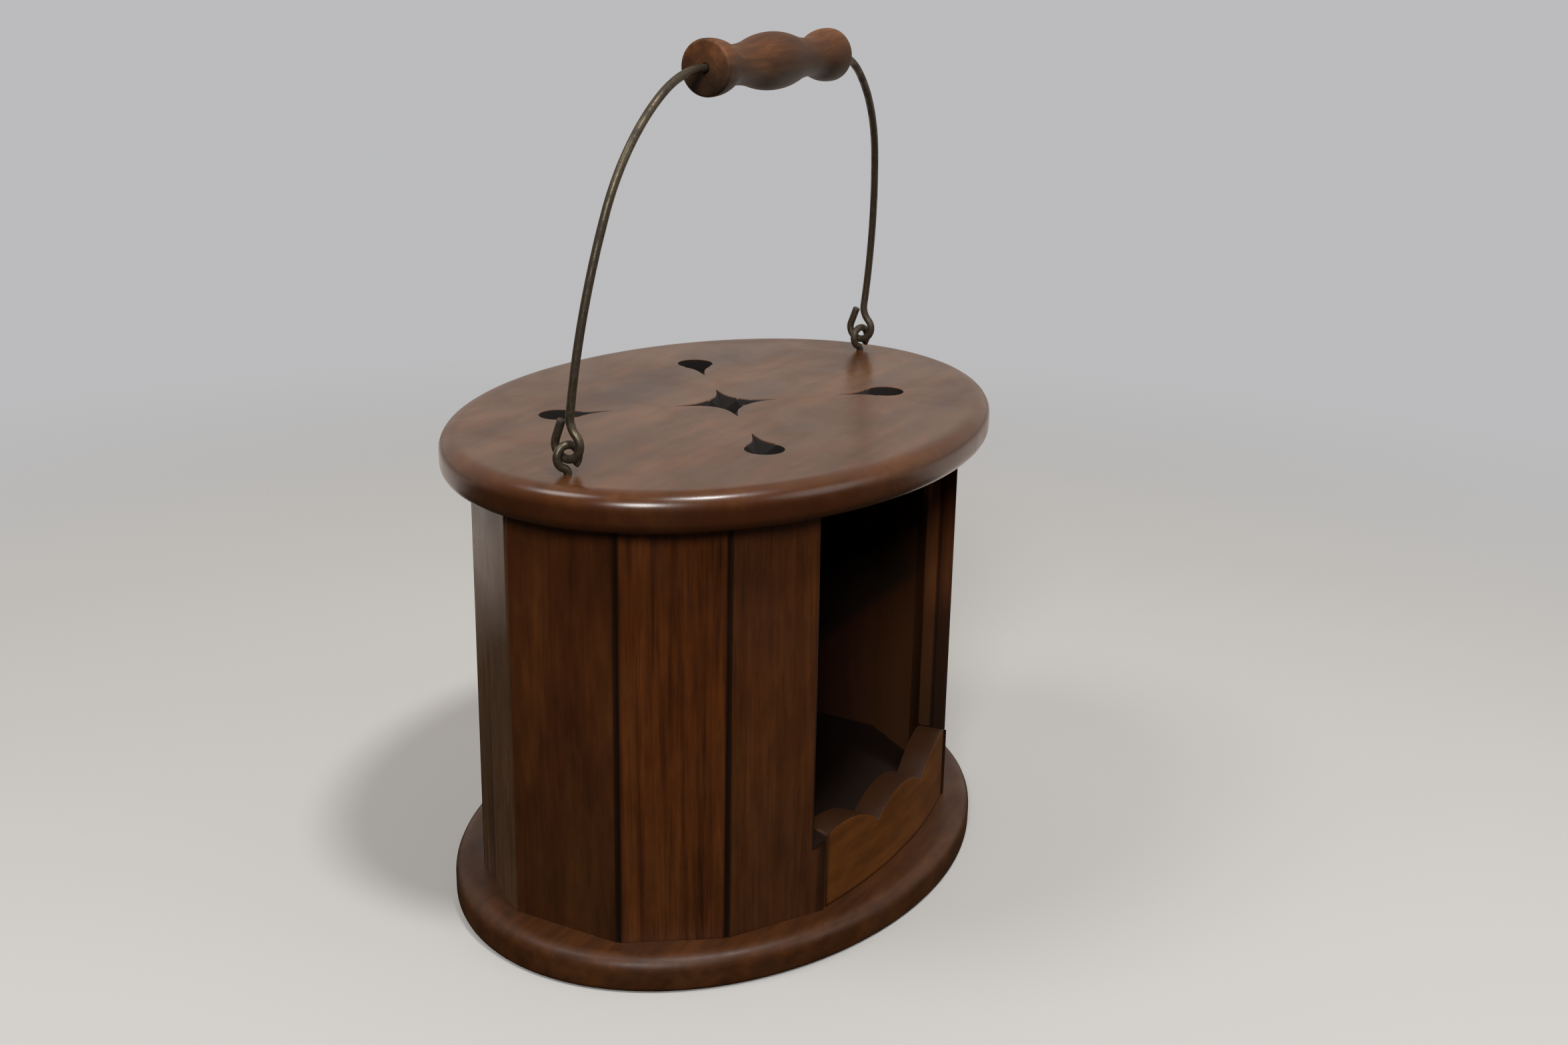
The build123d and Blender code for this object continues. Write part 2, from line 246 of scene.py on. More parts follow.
staveSettings = {
    "mergeGap": 0.02,
    "flatAngle": 1.0,
    # an ellipse through the wall, whose directions tell a stave's outer face from its inner one
    "wallReach": (0.137, 0.100),
    "facing": 0.6,
    "arrisRound": 0.4,
    "doorRound": 0.9,
    "sillRound": 0.7,
    "steps": 3,
    "edgeBand": 1.4,
    "chamferWidth": 2.2,
    "doorWidth": 139.6,
    "doorClear": 2.0,
    "sillEnd": 61.5,
    "sillLow": 30.0,
    "sillHigh": 80.0,
    # the sill's face is a fan of narrow facets, a stave's is one wide flat
    "narrowest": 3.0,
    "facetArea": 0.00004,
    "flatArea": 0.0002,
    # how dark a joint's shadow still is where the flat face begins
    "grooveShare": 0.25,
    "rubbedJoint": (-132.1, 26.3),
    "rubbedShare": 0.15,
    "smoothAngle": 28,
}

staveNodes = {
    "endStaveLeft": "end_stave_left",
    "flankStaveFrontLeft": "flank_stave_front_left",
    "jambStaveLeft": "jamb_stave_left",
    "frontApron": "front_apron",
    "jambStaveRight": "jamb_stave_right",
    "flankStaveFrontRight": "flank_stave_front_right",
    "endStaveRight": "end_stave_right",
    "flankStaveBackRight": "flank_stave_back_right",
    "quarterStaveBackRight": "quarter_stave_back_right",
    "backStaveRight": "back_stave_right",
    "backStaveLeft": "back_stave_left",
    "quarterStaveBackLeft": "quarter_stave_back_left",
    "flankStaveBackLeft": "flank_stave_back_left",
}


def outward(point):
    reachX, reachY = staveSettings["wallReach"]
    return Vector((point.x / reachX, point.y / reachY, 0)).normalized()


def outwardShare(face):
    return face.normal.dot(outward(face.calc_center_median()))


def faceWidth(face):
    spans = [vert.co.xy for vert in face.verts]
    return max((p - q).length for p in spans for q in spans)


def isUpright(edge):
    run = edge.verts[1].co - edge.verts[0].co
    return abs(run.z) > 0.02 and run.xy.length < 0.0005


def atRubbedJoint(point, reach):
    return (point.xy * 1000 - Vector(staveSettings["rubbedJoint"])).length < reach


def mark(items, layer, value):
    for item in items:
        for vert in item.verts:
            vert[layer] = value


def staveFromCad(node, settings):
    bm = bmesh.new()
    bm.from_mesh(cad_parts[node].data)
    bmesh.ops.remove_doubles(bm, verts=bm.verts, dist=settings["mergeGap"] * mm)
    bmesh.ops.dissolve_limit(bm, angle_limit=math.radians(settings["flatAngle"]),
                             verts=bm.verts, edges=bm.edges)
    bmesh.ops.recalc_face_normals(bm, faces=bm.faces)
    groove = bm.verts.layers.float.new("groove")
    worn = bm.verts.layers.float.new("worn")
    inside = bm.verts.layers.float.new("inside")
    sawn = bm.verts.layers.float.new("sawn")
    doorHalf = settings["doorWidth"] / 2 * mm
    jointsFrom = doorHalf + settings["doorClear"] * mm
    sillLow = settings["sillLow"] * mm
    sillHigh = settings["sillHigh"] * mm
    arrises, doorEdges, sillEdges = [], [], []
    for edge in bm.edges:
        if len(edge.link_faces) != 2:
            continue
        middle = (edge.verts[0].co + edge.verts[1].co) / 2
        upright = isUpright(edge)
        bend = edge.calc_face_angle_signed()
        if upright and bend > math.radians(15):
            narrow, wide = sorted(edge.link_faces, key=faceWidth)
            chamfered = faceWidth(narrow) < settings["chamferWidth"] * mm
            if chamfered and abs(middle.x) > jointsFrom:
                mark([edge], groove, settings["rubbedShare"] if atRubbedJoint(middle, 2) else 1.0)
            if chamfered and wide.normal.dot(outward(middle)) > settings["facing"]:
                arrises.append(edge)
            elif not chamfered and abs(abs(middle.x) - doorHalf) < 0.0005:
                doorEdges.append(edge)
        elif not upright and bend > math.radians(30) and sillLow < middle.z < sillHigh:
            rising = any(face.normal.z > 0.15 for face in edge.link_faces)
            plain = any(abs(face.normal.z) < 0.1 for face in edge.link_faces)
            if rising and plain and abs(middle.x) < settings["sillEnd"] * mm:
                sillEdges.append(edge)
    for edges, label in ((arrises, "arrisRound"), (doorEdges, "doorRound"), (sillEdges, "sillRound")):
        edges = [edge for edge in edges if edge.is_valid]
        if not edges:
            continue
        eased = roundEdges(bm, edges, settings[label] * mm, settings["steps"])
        if label != "arrisRound":
            for vert in eased["verts"]:
                vert[worn] = 1.0
    least = settings["facetArea" if node == "front_apron" else "flatArea"]
    shown = [face for face in bm.faces if outwardShare(face) > settings["facing"]
             and faceWidth(face) > settings["narrowest"] * mm and face.calc_area() > least]
    for face in shown:
        for edge in face.edges:
            corner = edge.verts[0].co
            if isUpright(edge) and abs(corner.x) > jointsFrom:
                mark([edge], groove, 0.0 if atRubbedJoint(corner, 3) else settings["grooveShare"])
    bmesh.ops.inset_region(bm, faces=shown, thickness=settings["edgeBand"] * mm, use_even_offset=True)
    mark(shown, groove, 0.0)
    mark(shown, worn, 0.0)
    for face in bm.faces:
        height = face.calc_center_median().z
        if face.normal.z > 0.2 and abs(face.normal.y) < 0.1 and sillLow < height < sillHigh:
            mark([face], sawn, 1.0)
        if outwardShare(face) < -settings["facing"]:
            mark([face], inside, 1.0)
    return bm


staves = {}
for name, node in staveNodes.items():
    staves[name] = newPiece(name, staveFromCad(node, staveSettings), staveSettings["smoothAngle"])
    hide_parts(node)
print("staves done", sum(len(stave.data.polygons) for stave in staves.values()))


# bent wire

wireSettings = {
    "sides": 20,
    "mergeGap": 0.01,
    "pivotY": -3.4,
    "pivotZ": 227.8,
    "eyeX": 129.5,
    "eyeWire": 3.4,
    "eyeRadius": 4.8,
    "eyeHeight": 6.9,
    # the eyes stand turned a little from the bail's line, as screws end up
    "eyeTurns": {-1: -27.0, 1: -17.0},
    "shankShown": 6.0,
    "footRound": 0.2,
    "bailWire": 3.5,
    "loopRadius": 5.8,
    "neckHeight": 12.0,
    "tailHeight": 9.5,
    "bailHeight": 140.0,
    "tailGap": 0.4,
    "tipRound": 0.5,
    "leanDegrees": 6.75,
    "shoulderTurn": 35.0,
    "shoulderShare": 0.70,
    "armShare": 1.13,
    "straight": 57.3,
    # length of one step along an arc
    "loopStep": 0.7,
    "bowStep": 1.5,
}


def startRing(bm, centre, direction, diameter, sides):
    ring = bmesh.ops.create_circle(bm, cap_ends=False, segments=sides, radius=diameter / 2 * mm)
    turn = Vector((0, 0, 1)).rotation_difference(direction).to_matrix()
    bmesh.ops.rotate(bm, cent=(0, 0, 0), matrix=turn, verts=ring["verts"])
    bmesh.ops.translate(bm, vec=Vector(centre) * mm, verts=ring["verts"])
    return list({edge for vert in ring["verts"] for edge in vert.link_edges})


def runStraight(bm, ring, move, steps):
    for _ in range(steps):
        step = bmesh.ops.extrude_edge_only(bm, edges=ring)
        verts = madeBy(step, bmesh.types.BMVert)
        bmesh.ops.translate(bm, vec=Vector(move) * mm / steps, verts=verts)
        ring = [edge for edge in madeBy(step, bmesh.types.BMEdge)
                if all(vert in verts for vert in edge.verts)]
    return ring


def runArc(bm, ring, centre, axis, angle, stepLength, radius):
    steps = max(4, int(abs(angle) * radius / stepLength))
    turn = bmesh.ops.spin(bm, geom=ring, cent=Vector(centre) * mm, axis=axis, angle=angle,
                          steps=steps, use_merge=False, use_duplicate=False)
    return madeBy(turn, bmesh.types.BMEdge, "geom_last")


def closeEnd(bm, ring, rounding):
    bmesh.ops.contextual_create(bm, geom=ring)
    roundEdges(bm, ring, rounding * mm, 2)


def loopShape(radius, lead, wireWidth, gap):
    # how far the wire swerves before the loop, where it meets the loop, and the part left open
    swerve = (lead ** 2 - radius ** 2) / (2 * radius)
    reach = swerve + radius
    meet = math.atan2(lead, -swerve)
    clear = swerve + wireWidth + gap
    closing = math.acos((radius ** 2 + reach ** 2 - clear ** 2) / (2 * radius * reach))
    return swerve, meet, closing


def dropTail(radius, lead, wireWidth, gap, tailHeight):
    # where the loop's arc ends, and the straight tail from there up beside the wire
    swerve = (lead ** 2 - radius ** 2) / (2 * radius)
    clear = swerve + wireWidth + gap
    across = math.sqrt(clear ** 2 - (lead - tailHeight) ** 2) - swerve
    leave = math.atan2(tailHeight, across) - math.acos(radius / math.hypot(across, tailHeight))
    return leave, across - radius * math.cos(leave), tailHeight - radius * math.sin(leave)


def screwEye(side, settings):
    bm = bmesh.new()
    x = side * settings["eyeX"]
    y = settings["pivotY"]
    radius = settings["eyeRadius"]
    lead = settings["eyeHeight"]
    step = settings["loopStep"]
    ringZ = settings["pivotZ"] - radius
    swerve, meet, closing = loopShape(radius, lead, settings["eyeWire"], settings["tailGap"])
    foot = ringZ - lead - settings["shankShown"]
    first = startRing(bm, (x, y, foot), Vector((0, 0, 1)), settings["eyeWire"], settings["sides"])
    ring = runStraight(bm, first, (0, 0, settings["shankShown"]), 3)
    ring = runArc(bm, ring, (x - swerve, y, ringZ - lead), (0, 1, 0), meet - math.pi, step, swerve)
    ring = runArc(bm, ring, (x, y, ringZ), (0, 1, 0), 2 * math.pi - closing, step, radius)
    closeEnd(bm, ring, settings["tipRound"])
    closeEnd(bm, first, settings["footRound"])
    turn = Matrix.Rotation(math.radians(settings["eyeTurns"][side]), 3, "Z")
    bmesh.ops.rotate(bm, cent=Vector((x, y, 0)) * mm, matrix=turn, verts=bm.verts)
    bmesh.ops.recalc_face_normals(bm, faces=bm.faces)
    return bm


def bailHalf(bm, settings):
    # from the middle of the grip to the right: shoulder, arm, leg, swerve, loop and tail
    eyeX = settings["eyeX"]
    straight = settings["straight"]
    height = settings["bailHeight"]
    neck = settings["neckHeight"]
    loop = settings["loopRadius"]
    halfSpan = eyeX - straight
    shoulder = settings["shoulderShare"] * halfSpan
    arm = settings["armShare"] * halfSpan
    turn = math.radians(settings["shoulderTurn"])
    shoulderZ = height - shoulder
    armX = straight + (shoulder - arm) * math.sin(turn)
    armZ = shoulderZ + (shoulder - arm) * math.cos(turn)
    across = eyeX - armX
    drop = armZ - neck
    leg = (across ** 2 + drop ** 2 - arm ** 2) / (2 * (across - arm))
    legX = eyeX - leg
    legTurn = math.atan2(drop, armX - legX)
    armTurn = math.pi / 2 - turn - legTurn
    swerve, meet, _ = loopShape(loop, neck, settings["bailWire"], settings["tailGap"])
    leave, tailAcross, tailUp = dropTail(loop, neck, settings["bailWire"], settings["tailGap"],
                                         settings["tailHeight"])
    ring = startRing(bm, (0, 0, height), Vector((1, 0, 0)), settings["bailWire"], settings["sides"])
    ring = runStraight(bm, ring, (straight, 0, 0), 6)
    for centreX, centreZ, angle, radius in ((straight, shoulderZ, turn, shoulder), (armX, armZ, armTurn, arm),
                                            (legX, neck, legTurn, leg)):
        ring = runArc(bm, ring, (centreX, 0, centreZ), (0, 1, 0), angle, settings["bowStep"], radius)
    for centreY, centreZ, angle, radius in ((-swerve, neck, meet - math.pi, swerve),
                                            (0, 0, 2 * math.pi + leave - meet, loop)):
        ring = runArc(bm, ring, (eyeX, centreY, centreZ), (1, 0, 0), angle, settings["loopStep"], radius)
    ring = runStraight(bm, ring, (0, tailAcross, tailUp), 4)
    closeEnd(bm, ring, settings["tipRound"])


def leanBail(bm, settings):
    lean = Matrix.Rotation(math.radians(settings["leanDegrees"]), 3, "X")
    bmesh.ops.rotate(bm, cent=(0, 0, 0), matrix=lean, verts=bm.verts)
    bmesh.ops.translate(bm, vec=Vector((0, settings["pivotY"], settings["pivotZ"])) * mm,
                        verts=bm.verts)


def bailWire(settings):
    bm = bmesh.new()
    bailHalf(bm, settings)
    mirrorHalf(bm, settings)
    leanBail(bm, settings)
    return bm


eyeLeft = newPiece("screwEyeLeft", screwEye(-1, wireSettings))
eyeRight = newPiece("screwEyeRight", screwEye(1, wireSettings))
bail = newPiece("bailWire", bailWire(wireSettings))
print("wire done", len(bail.data.polygons))


# turned grip

gripSettings = {
    "half": 54.3,
    "mergeGap": 0.01,
    "bellyRadius": 12.0,
    "waistRadius": 8.2,
    "endRadius": 11.5,
    "waistOffset": 32.0,
    "endLand": 3.0,
    "endRound": 1.3,
    "endSteps": 4,
    "boreRadius": 2.1,
    "boreShown": 8.0,
    "curveSteps": 8,
    "steps": 72,
}


def cymaProfile(bm, vert, start, end, steps):
    # two equal arcs that leave and arrive level, walked by spinning one vertex
    run = end[0] - start[0]
    rise = end[1] - start[1]
    half = math.hypot(run, rise) / 2
    turn = 2 * math.atan2(abs(rise), run)
    radius = half / (2 * math.sin(turn / 2))
    sign = 1 if rise > 0 else -1
    for centreX, centreZ, way in ((start[0], start[1] + sign * radius, -sign),
                                  (end[0], end[1] - sign * radius, sign)):
        turned = bmesh.ops.spin(bm, geom=[vert], cent=(centreX * mm, 0, centreZ * mm), axis=(0, 1, 0),
                                angle=way * turn, steps=steps, use_duplicate=False)
        vert = madeBy(turned, bmesh.types.BMVert, "geom_last")[0]
    return vert


def turnedGrip(settings, bailShape):
    bm = bmesh.new()
    half = settings["half"]
    bore = settings["boreRadius"]
    belly = (0, settings["bellyRadius"])
    waist = (settings["waistOffset"], settings["waistRadius"])
    land = (half - settings["endLand"], settings["endRadius"])
    vert = bmesh.ops.create_vert(bm, co=(0, 0, settings["bellyRadius"] * mm))["vert"][0]
    vert = cymaProfile(bm, vert, belly, waist, settings["curveSteps"])
    vert = cymaProfile(bm, vert, waist, land, settings["curveSteps"])
    for x, z in ((half, settings["endRadius"]), (half, bore), (half - settings["boreShown"], bore)):
        step = bmesh.ops.extrude_vert_indiv(bm, verts=[vert])
        vert = step["verts"][0]
        vert.co = Vector((x, 0, z)) * mm
    bmesh.ops.spin(bm, geom=bm.verts[:] + bm.edges[:], cent=(0, 0, 0), axis=(1, 0, 0),
                   angle=2 * math.pi, steps=settings["steps"], use_merge=True, use_duplicate=False)
    bmesh.ops.remove_doubles(bm, verts=bm.verts, dist=settings["mergeGap"] * mm)
    corner = [edge for edge in bm.edges
              if all(abs(v.co.x - half * mm) < 1e-6 for v in edge.verts)
              and all(v.co.yz.length > settings["endRadius"] * mm * 0.99 for v in edge.verts)]
    roundEdges(bm, corner, settings["endRound"] * mm, settings["endSteps"])
    mirrorHalf(bm, settings)
    bmesh.ops.translate(bm, vec=(0, 0, bailShape["bailHeight"] * mm), verts=bm.verts)
    leanBail(bm, bailShape)
    return bm


grip = newPiece("turnedGrip", turnedGrip(gripSettings, wireSettings))
print("grip done", len(grip.data.polygons))


# nodes for the materials

def addNode(tree, kind, **values):
    node = tree.nodes.new(kind)
    for key, value in values.items():
        setattr(node, key, value)
    return node


def plug(tree, value, socket):
    # numbers and colours are set, sockets are linked
    if isinstance(value, tuple):
        socket.default_value = value + (1,) if socket.type == "RGBA" else value
    elif isinstance(value, (int, float)):
        socket.default_value = value
    else:
        tree.links.new(value, socket)


def mathNode(tree, operation, first, second=None, clamp=False):
    node = addNode(tree, "ShaderNodeMath", operation=operation, use_clamp=clamp)
    for index, value in enumerate((first, second)):
        if value is not None:
            plug(tree, value, node.inputs[index])
    return node.outputs[0]


def vectorNode(tree, operation, first, second=None):
    node = addNode(tree, "ShaderNodeVectorMath", operation=operation)
    plug(tree, first, node.inputs[0])
    if second is not None:
        plug(tree, second, node.inputs["Scale" if operation == "SCALE" else 1])
    return node.outputs["Value" if operation in ("LENGTH", "DOT_PRODUCT") else "Vector"]


def mixColour(tree, blend, factor, first, second):
    node = addNode(tree, "ShaderNodeMix", data_type="RGBA", blend_type=blend)
    for index, value in ((0, factor), (6, first), (7, second)):
        plug(tree, value, node.inputs[index])
    return node.outputs[2]


def rangeNode(tree, value, low, high, newLow=0.0, newHigh=1.0, smooth=True):
    node = addNode(tree, "ShaderNodeMapRange", clamp=True,
                   interpolation_type="SMOOTHSTEP" if smooth else "LINEAR")
    for key, number in (("Value", value), ("From Min", low), ("From Max", high),
                        ("To Min", newLow), ("To Max", newHigh)):
        plug(tree, number, node.inputs[key])
    return node.outputs["Result"]


def noiseNode(tree, vector, scale, detail, roughness, distortion=0.0, output="Fac"):
    node = addNode(tree, "ShaderNodeTexNoise", noise_dimensions="3D")
    for key, value in (("Vector", vector), ("Scale", scale), ("Detail", detail),
                       ("Roughness", roughness), ("Distortion", distortion)):
        plug(tree, value, node.inputs[key])
    return node.outputs[output]


def ramp(tree, factor, stops):
    node = addNode(tree, "ShaderNodeValToRGB")
    plug(tree, factor, node.inputs["Fac"])
    elements = node.color_ramp.elements
    elements[0].position, elements[0].color = stops[0][0], stops[0][1] + (1,)
    elements[1].position, elements[1].color = stops[-1][0], stops[-1][1] + (1,)
    for position, colour in stops[1:-1]:
        elements.new(position).color = colour + (1,)
    return node.outputs["Color"]


def objectPlace(tree):
    return addNode(tree, "ShaderNodeTexCoord").outputs["Object"]


def axesOf(tree, vector):
    node = addNode(tree, "ShaderNodeSeparateXYZ")
    plug(tree, vector, node.inputs[0])
    return node.outputs


def attributeNode(tree, name):
    return addNode(tree, "ShaderNodeAttribute", attribute_name=name).outputs["Fac"]


def groupNode(tree, group, values):
    node = addNode(tree, "ShaderNodeGroup", node_tree=group)
    for key, value in values.items():
        plug(tree, value, node.inputs[key])
    return node.outputs


def newGroup(name, inputs, outputs):
    group = bpy.data.node_groups.new(name, "ShaderNodeTree")
    group.interface.new_socket(name="Vector", in_out="INPUT", socket_type="NodeSocketVector")
    for label, value in inputs.items():
        socket = group.interface.new_socket(name=label, in_out="INPUT", socket_type="NodeSocketFloat")
        socket.default_value = value
    for label in outputs:
        group.interface.new_socket(name=label, in_out="OUTPUT", socket_type="NodeSocketFloat")
    return group, addNode(group, "NodeGroupInput").outputs, addNode(group, "NodeGroupOutput").inputs


def newMaterial(name):
    material = bpy.data.materials.new(name)
    material.use_nodes = True
    return material, material.node_tree, material.node_tree.nodes["Principled BSDF"]


# shared material groups

figureSettings = {
    "warpStretch": 0.25,
    "warpScale": 22.0,
    "streakStretch": 0.03,
    "porePlace": (0.56, 0.70),
    "fleckPlace": (0.32, 0.68),
    "fleckTone": (0.55, 1.4),
    # stretch along the grain, scale, detail, roughness and distortion
    "Pores": (0.022, 1500.0, 2.0, 0.5, 0.0),
    "Clouds": (0.35, 38.0, 3.0, 0.55, 0.0),
    "Flame": (0.12, 30.0, 2.0, 0.5, 1.4),
    "Fleck": (0.28, 150.0, 3.0, 0.6, 0.0),
}


def buildWoodFigure(settings):
    # grain runs along Z of the vector that comes in, in metres
    group, entry, leave = newGroup("woodFigure", {"Streak Scale": 300.0, "Warp": 0.004},
                                   ("Streaks", "Pores", "Clouds", "Flame", "Fleck"))
    vector = entry["Vector"]
    slow = noiseNode(group, vectorNode(group, "MULTIPLY", vector, (1, 1, settings["warpStretch"])),
                     settings["warpScale"], 1.5, 0.5, output="Color")
    sway = vectorNode(group, "SUBTRACT", slow, (0.5, 0.5, 0.5))
    bent = vectorNode(group, "ADD", vector, vectorNode(group, "SCALE", sway, entry["Warp"]))
    streaks = vectorNode(group, "MULTIPLY", bent, (1, 1, settings["streakStretch"]))
    plug(group, noiseNode(group, streaks, entry["Streak Scale"], 5.0, 0.62), leave["Streaks"])
    for label in ("Pores", "Clouds", "Flame", "Fleck"):
        along, scale, detail, roughness, distortion = settings[label]
        layer = noiseNode(group, vectorNode(group, "MULTIPLY", bent, (1, 1, along)),
                          scale, detail, roughness, distortion)
        if label == "Pores":
            layer = rangeNode(group, layer, *settings["porePlace"])
        elif label == "Fleck":
            layer = rangeNode(group, layer, *settings["fleckPlace"], *settings["fleckTone"], smooth=False)
        plug(group, layer, leave[label])
    return group


def buildEdgeWear():
    # patches of bare wood where an edge is marked as worn
    group, entry, leave = newGroup("edgeWear", {"Edge": 0.0, "Amount": 0.5}, ("Worn",))
    patches = noiseNode(group, entry["Vector"], 60.0, 5.0, 0.65)
    mask = rangeNode(group, mathNode(group, "ADD", patches, entry["Amount"]), 0.75, 1.15)
    plug(group, mathNode(group, "MULTIPLY", mask, entry["Edge"]), leave["Worn"])
    return group


def buildHandling():
    # faint wipes and finger marks that change the gloss
    group, entry, leave = newGroup("handling", {}, ("Smears",))
    smears = noiseNode(group, entry["Vector"], 24.0, 6.0, 0.6, 0.8)
    plug(group, rangeNode(group, smears, 0.35, 0.7), leave["Smears"])
    return group


sootSettings = {
    "wallRadii": (0.1244, 0.0875),
    "wallBlur": 0.03,
    "holeBlur": 0.0003,
}


def buildSoot(settings):
    # smoke stain: within the wall below a height, and down the five heat holes
    group, entry, leave = newGroup("soot", {"Below": 0.2, "Hole Below": 0.0}, ("Stain",))
    vector = entry["Vector"]
    radiusX, radiusY = settings["wallRadii"]
    radius = vectorNode(group, "LENGTH", vectorNode(group, "MULTIPLY", vector, (1 / radiusX, 1 / radiusY, 0)))
    within = rangeNode(group, radius, 1 - settings["wallBlur"], 1 + settings["wallBlur"], 1.0, 0.0)
    height = axesOf(group, vector)["Z"]
    low = mathNode(group, "LESS_THAN", height, entry["Below"])
    depth = mathNode(group, "SUBTRACT", entry["Hole Below"], height)
    down = mathNode(group, "DIVIDE", depth, settings["holeBlur"], clamp=True)
    # the rim slopes down too, but lies outside the wall
    stained = mathNode(group, "MULTIPLY", within, mathNode(group, "MAXIMUM", low, down))
    plug(group, stained, leave["Stain"])
    return group


woodFigure = buildWoodFigure(figureSettings)
edgeWear = buildEdgeWear()
handling = buildHandling()
soot = buildSoot(sootSettings)


# wood

chamberSettings = {
    "rawShare": 0.75,
    # the painted shadow ends along a line that falls towards the chamber's end
    "slant": 0.9,
    "slantEdge": (0.060, 0.072),
    "slantFade": (0.106, 0.140),
    "paintedShadowTint": (0.42, 0.72, 1.0),
    # and painted shade darkens it further from the chamber's right end
    "deepShadeAcross": (0.050, 0.105),
    "deepShadeTint": (0.30, 0.30, 0.34),
}


def chamberColour(tree, axes, colour, insideColour, settings):
    raw = mixColour(tree, "MIX", settings["rawShare"], colour, insideColour)
    # painted shadow above the slanting line, fading out higher up
    line = mathNode(tree, "ADD", axes["Z"], mathNode(tree, "MULTIPLY", axes["Y"], settings["slant"]))
    paintedShadow = mathNode(tree, "MULTIPLY", rangeNode(tree, line, *settings["slantEdge"]),
                      rangeNode(tree, axes["Z"], *settings["slantFade"], 1.0, 0.0))
    raw = mixColour(tree, "MULTIPLY", paintedShadow, raw, settings["paintedShadowTint"])
    # painted shade, darker further from the chamber's right end
    deepShade = rangeNode(tree, axes["X"], *settings["deepShadeAcross"], 1.0, 0.0)
    return mixColour(tree, "MULTIPLY", deepShade, raw, settings["deepShadeTint"])


doorwaySettings = {
    # the sawn edge of a jamb, across the doorway
    "edgeAcross": (0.0700, 0.0706),
    "darkLineHalf": (0.0004, 0.0014),
    "darkLineTone": 0.3,
    "outerRun": 0.0008,
    # painted light on the upper part of the right jamb's sawn edge
    "paintedLightHeights": (0.100, 0.130),
    # the lip that a jamb keeps under the opening, in painted shade towards the sill's joint
    "lipTop": 0.0462,
    "lipAcross": (0.0670, 0.0692),
    "lipShade": 0.5,
    # painted shade on the ends of the sill, beside the jambs
    "sillAcross": (0.0590, 0.0625),
    "sillEndShadeTint": (0.30, 0.33, 0.55),
}


def jambShade(tree, axes, wood, settings):
    # a dark line along the sawn edge beside the doorway, darker outside it, with painted light on the edge's
    # upper part and painted shade on the lip towards the sill's joint
    across = mathNode(tree, "ABSOLUTE", axes["X"])
    line = wood["doorLine"]
    fromLine = mathNode(tree, "ABSOLUTE", mathNode(tree, "SUBTRACT", axes["Y"], line))
    onLine = rangeNode(tree, fromLine, *settings["darkLineHalf"], settings["darkLineTone"], 1.0)
    outer = rangeNode(tree, axes["Y"], line - settings["outerRun"], line, wood["outerShade"], 1.0)
    # painted light on the upper part of the sawn edge
    paintedLight = rangeNode(tree, axes["Z"], *settings["paintedLightHeights"], 1.0, wood["paintedEdgeLight"])
    strip = mathNode(tree, "MULTIPLY", mathNode(tree, "MULTIPLY", onLine, outer), paintedLight)
    onEdge = rangeNode(tree, across, *settings["edgeAcross"], 1.0, 0.0)
    shade = mathNode(tree, "ADD", mathNode(tree, "MULTIPLY", strip, onEdge),
                     mathNode(tree, "SUBTRACT", 1.0, onEdge))
    # painted shade on the lip below the opening, towards the sill's joint
    low = mathNode(tree, "LESS_THAN", axes["Z"], settings["lipTop"])
    lip = rangeNode(tree, across, *settings["lipAcross"], settings["lipShade"], 1.0)
    shade = mathNode(tree, "MAXIMUM", mathNode(tree, "MULTIPLY", shade, mathNode(tree, "SUBTRACT", 1.0, low)),
                     mathNode(tree, "MULTIPLY", lip, low))
    grey = addNode(tree, "ShaderNodeCombineXYZ")
    for socket in grey.inputs:
        plug(tree, shade, socket)
    return grey.outputs[0]


def figureColour(tree, figure, settings):
    layers = (("Streaks", "streakShare"), ("Clouds", "cloudShare"), ("Flame", "flameShare"))
    streaks, clouds, flame = [mathNode(tree, "MULTIPLY", figure[label], settings[share])
                              for label, share in layers]
    total = mathNode(tree, "ADD", mathNode(tree, "ADD", streaks, clouds), flame)
    shares = sum(settings[share] for label, share in layers)
    contrast = settings["contrast"]
    tone = rangeNode(tree, total, shares * (0.5 - contrast), shares * (0.5 + contrast), smooth=False)
    colour = ramp(tree, tone, settings["colours"])
    colour = mixColour(tree, "MULTIPLY", settings["fleck"], colour, figure["Fleck"])
    pores = mathNode(tree, "MULTIPLY", figure["Pores"], settings["pores"])
    return mixColour(tree, "MULTIPLY", pores, colour, settings["poreTint"])


def bumpShader(tree, shader, height, strength):
    bump = addNode(tree, "ShaderNodeBump")
    for key, value in (("Strength", strength), ("Distance", 0.0002), ("Height", height)):
        plug(tree, value, bump.inputs[key])
    plug(tree, bump.outputs["Normal"], shader.inputs["Normal"])


